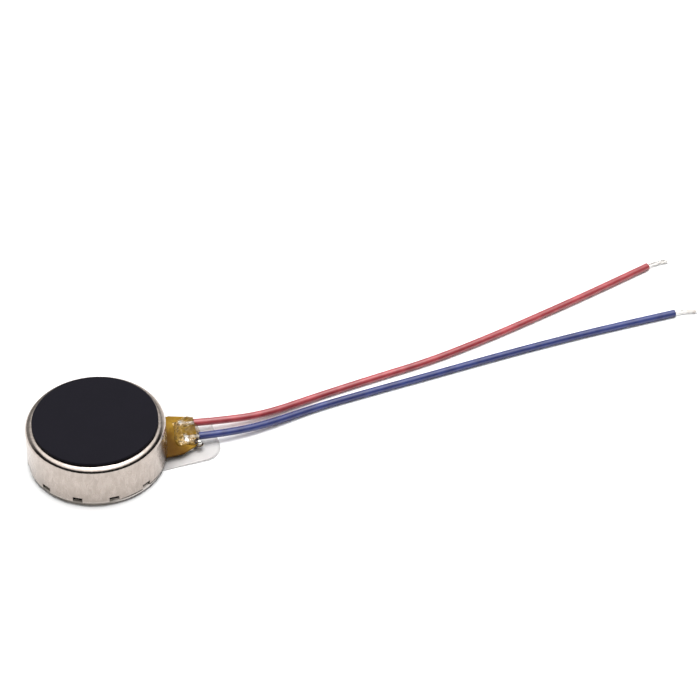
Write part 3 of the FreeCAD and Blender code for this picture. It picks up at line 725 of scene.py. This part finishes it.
def washerFilm():
    paint = newPaint("washerFilm")
    ringLines = paint.radius().ripple(0.035 * mm)
    cloud = paint.noise(0.2 * mm, 3)
    colour = paint.tint(cloud, (0.50, 0.45, 0.27), (0.66, 0.61, 0.42))
    return paint.finish(Specular_IOR_Level=0.5, Base_Color=colour, Roughness=0.3 + cloud * 0.15,
                        Normal=paint.bump(ringLines, 0.002 * mm, 0.6))


glue = adhesive()
wear("adhesive_disc", glue)
wear("magnet_adhesive", glue)
wear("ring_magnet", ferrite())
washer = washerFilm()
wear("lower_washer", washer)
wear("upper_washer", washer)


def sinteredBronze():
    paint = newPaint("sinteredBronze")
    pores = paint.cells(0.045 * mm)
    cloud = paint.noise(0.12 * mm, 3)
    empty = 1 - pores.step(0.1, 0.35)
    colour = paint.tint(cloud, (0.38, 0.22, 0.09), (0.58, 0.38, 0.18))
    colour = paint.tint(empty * 0.8, colour, (0.09, 0.05, 0.03))
    return paint.finish(Metallic=1.0, Base_Color=colour, Roughness=0.36 + cloud * 0.25,
                        Normal=paint.bump(pores, 0.01 * mm, 0.8))


def glassBoard():
    paint = newPaint("board")
    warp = paint.along("X").ripple(0.16 * mm)
    weft = paint.along("Y").ripple(0.16 * mm)
    weave = warp * (1 - weft) + weft * (1 - warp)
    cloud = paint.noise(0.5 * mm, 2)
    colour = paint.tint(weave * 0.6 + cloud * 0.4, (0.020, 0.13, 0.045), (0.045, 0.24, 0.085))
    return paint.finish(Specular_IOR_Level=0.5, Base_Color=colour, Roughness=0.24 + cloud * 0.15,
                        Normal=paint.bump(weave, 0.004 * mm, 0.5))


# wire turns: level lines on a coil's outer walls, and arcs about the motor's axis on its faces
def windings():
    paint = newPaint("enamelledWire")
    turns = (paint.radius() + paint.along("Z")).ripple(0.075 * mm)
    shift = paint.noise(0.3 * mm, 3)
    colour = paint.tint(turns * 0.7 + shift * 0.3, (0.20, 0.055, 0.018), (0.66, 0.27, 0.10))
    return paint.finish(Metallic=0.85, Coat_Roughness=0.15, Base_Color=colour,
                        Roughness=0.22 + shift * 0.15, Coat_Weight=0.5 + shift * 0.2,
                        Normal=paint.bump(turns, 0.02 * mm, 0.9))


def tungstenMetal():
    paint = newPaint("tungsten")
    grain = paint.cells(0.04 * mm)
    cloud = paint.noise(0.4 * mm, 4)
    colour = paint.tint(cloud, (0.20, 0.20, 0.21), (0.36, 0.355, 0.35))
    return paint.finish(Metallic=1.0, Base_Color=colour, Roughness=0.38 + grain * 0.25,
                        Normal=paint.bump(grain, 0.006 * mm, 0.7))


def rotorResin():
    paint = newPaint("rotorResin")
    speck = paint.noise(0.04 * mm, 3)
    cloud = paint.noise(0.8 * mm, 3)
    mix = speck.step(0.45, 0.75) * 0.6 + cloud * 0.3
    colour = paint.tint(mix, (0.014, 0.014, 0.016), (0.050, 0.050, 0.054))
    return paint.finish(Specular_IOR_Level=0.4, Base_Color=colour, Roughness=0.40 + speck * 0.2,
                        Normal=paint.bump(speck, 0.006 * mm, 0.6))


wear("rotor_bush", sinteredBronze())
wear("rotor_board", glassBoard())
wire = windings()
wear("left_coil", wire)
wear("right_coil", wire)
wear("counterweight", tungstenMetal())
wear("rotor_moulding", rotorResin())
print("rotor dressed")


# places and sizes in metres, powers in watts
studioValues = {
    "floorHalf": 2.5,
    "horizon": 0.03,          # sky brightness near the ground
    "zenith": 2.4,            # and overhead
    "climb": (0.60, 0.86),    # sines of the heights between which it brightens
    "back": 0.38,             # extra light from the far side
    "backFrom": (0.35, 0.7),  # y of the directions between which it rises
    "corner": 0.9,            # and more from its +X corner
    "cornerFrom": (1.07, 1.4),    # x + y of the directions between which that rises
    "key": ((0.05, 0.08, 0.57), 0.42, 2.1),       # place, size and power
    "spark": ((0.02, -0.02, 0.60), 0.07, 0.25),   # a small lamp for glints
    "aim": (0.01, 0, 0),
}


def makeFloor():
    half = studioValues["floorHalf"]
    x, y = np.meshgrid(np.linspace(-half, half, 9), np.linspace(-half, half, 9))
    paint = newPaint("paper")
    colour = paint.tint(paint.noise(0.6 * mm, 3), (0.92, 0.92, 0.92), (0.94, 0.94, 0.94))
    paper = paint.finish(Specular_IOR_Level=0.1, Base_Color=colour, Roughness=0.85)
    gridMesh("floor", [np.stack([x, y, 0 * x], axis=-1)], paper, ring=False, caps=False)


def makeLight(name, place, size, power):
    data = bpy.data.lights.new(name, "AREA")
    data.shape = "DISK"
    data.size = size
    data.energy = power
    light = bpy.data.objects.new(name, data)
    scene.collection.objects.link(light)
    light.location = place
    ahead = Vector(studioValues["aim"]) - Vector(place)
    light.rotation_euler = ahead.to_track_quat("-Z", "Y").to_euler()


# A white tent: the pieces see it dark at the ground and bright overhead, the camera sees it white.
def makeSky():
    scene.world = bpy.data.worlds.new("tent")
    sky = Paint(scene.world, "BACKGROUND", "Generated")
    climb = sky.along("Z").step(*studioValues["climb"])
    glow = climb * (studioValues["zenith"] - studioValues["horizon"]) + studioValues["horizon"]
    glow += sky.along("Y").step(*studioValues["backFrom"]) * studioValues["back"]
    corner = (sky.along("X") + sky.along("Y")).step(*studioValues["cornerFrom"])
    glow += corner * studioValues["corner"]
    direct = sky.node("LightPath", out="Is Camera Ray")
    sky.finish(Color=(1, 1, 1, 1), Strength=glow * (1 - direct) + direct)


makeFloor()
makeSky()
makeLight("key", *studioValues["key"])
makeLight("spark", *studioValues["spark"])
scene.view_settings.view_transform = "Standard"
print("studio made")
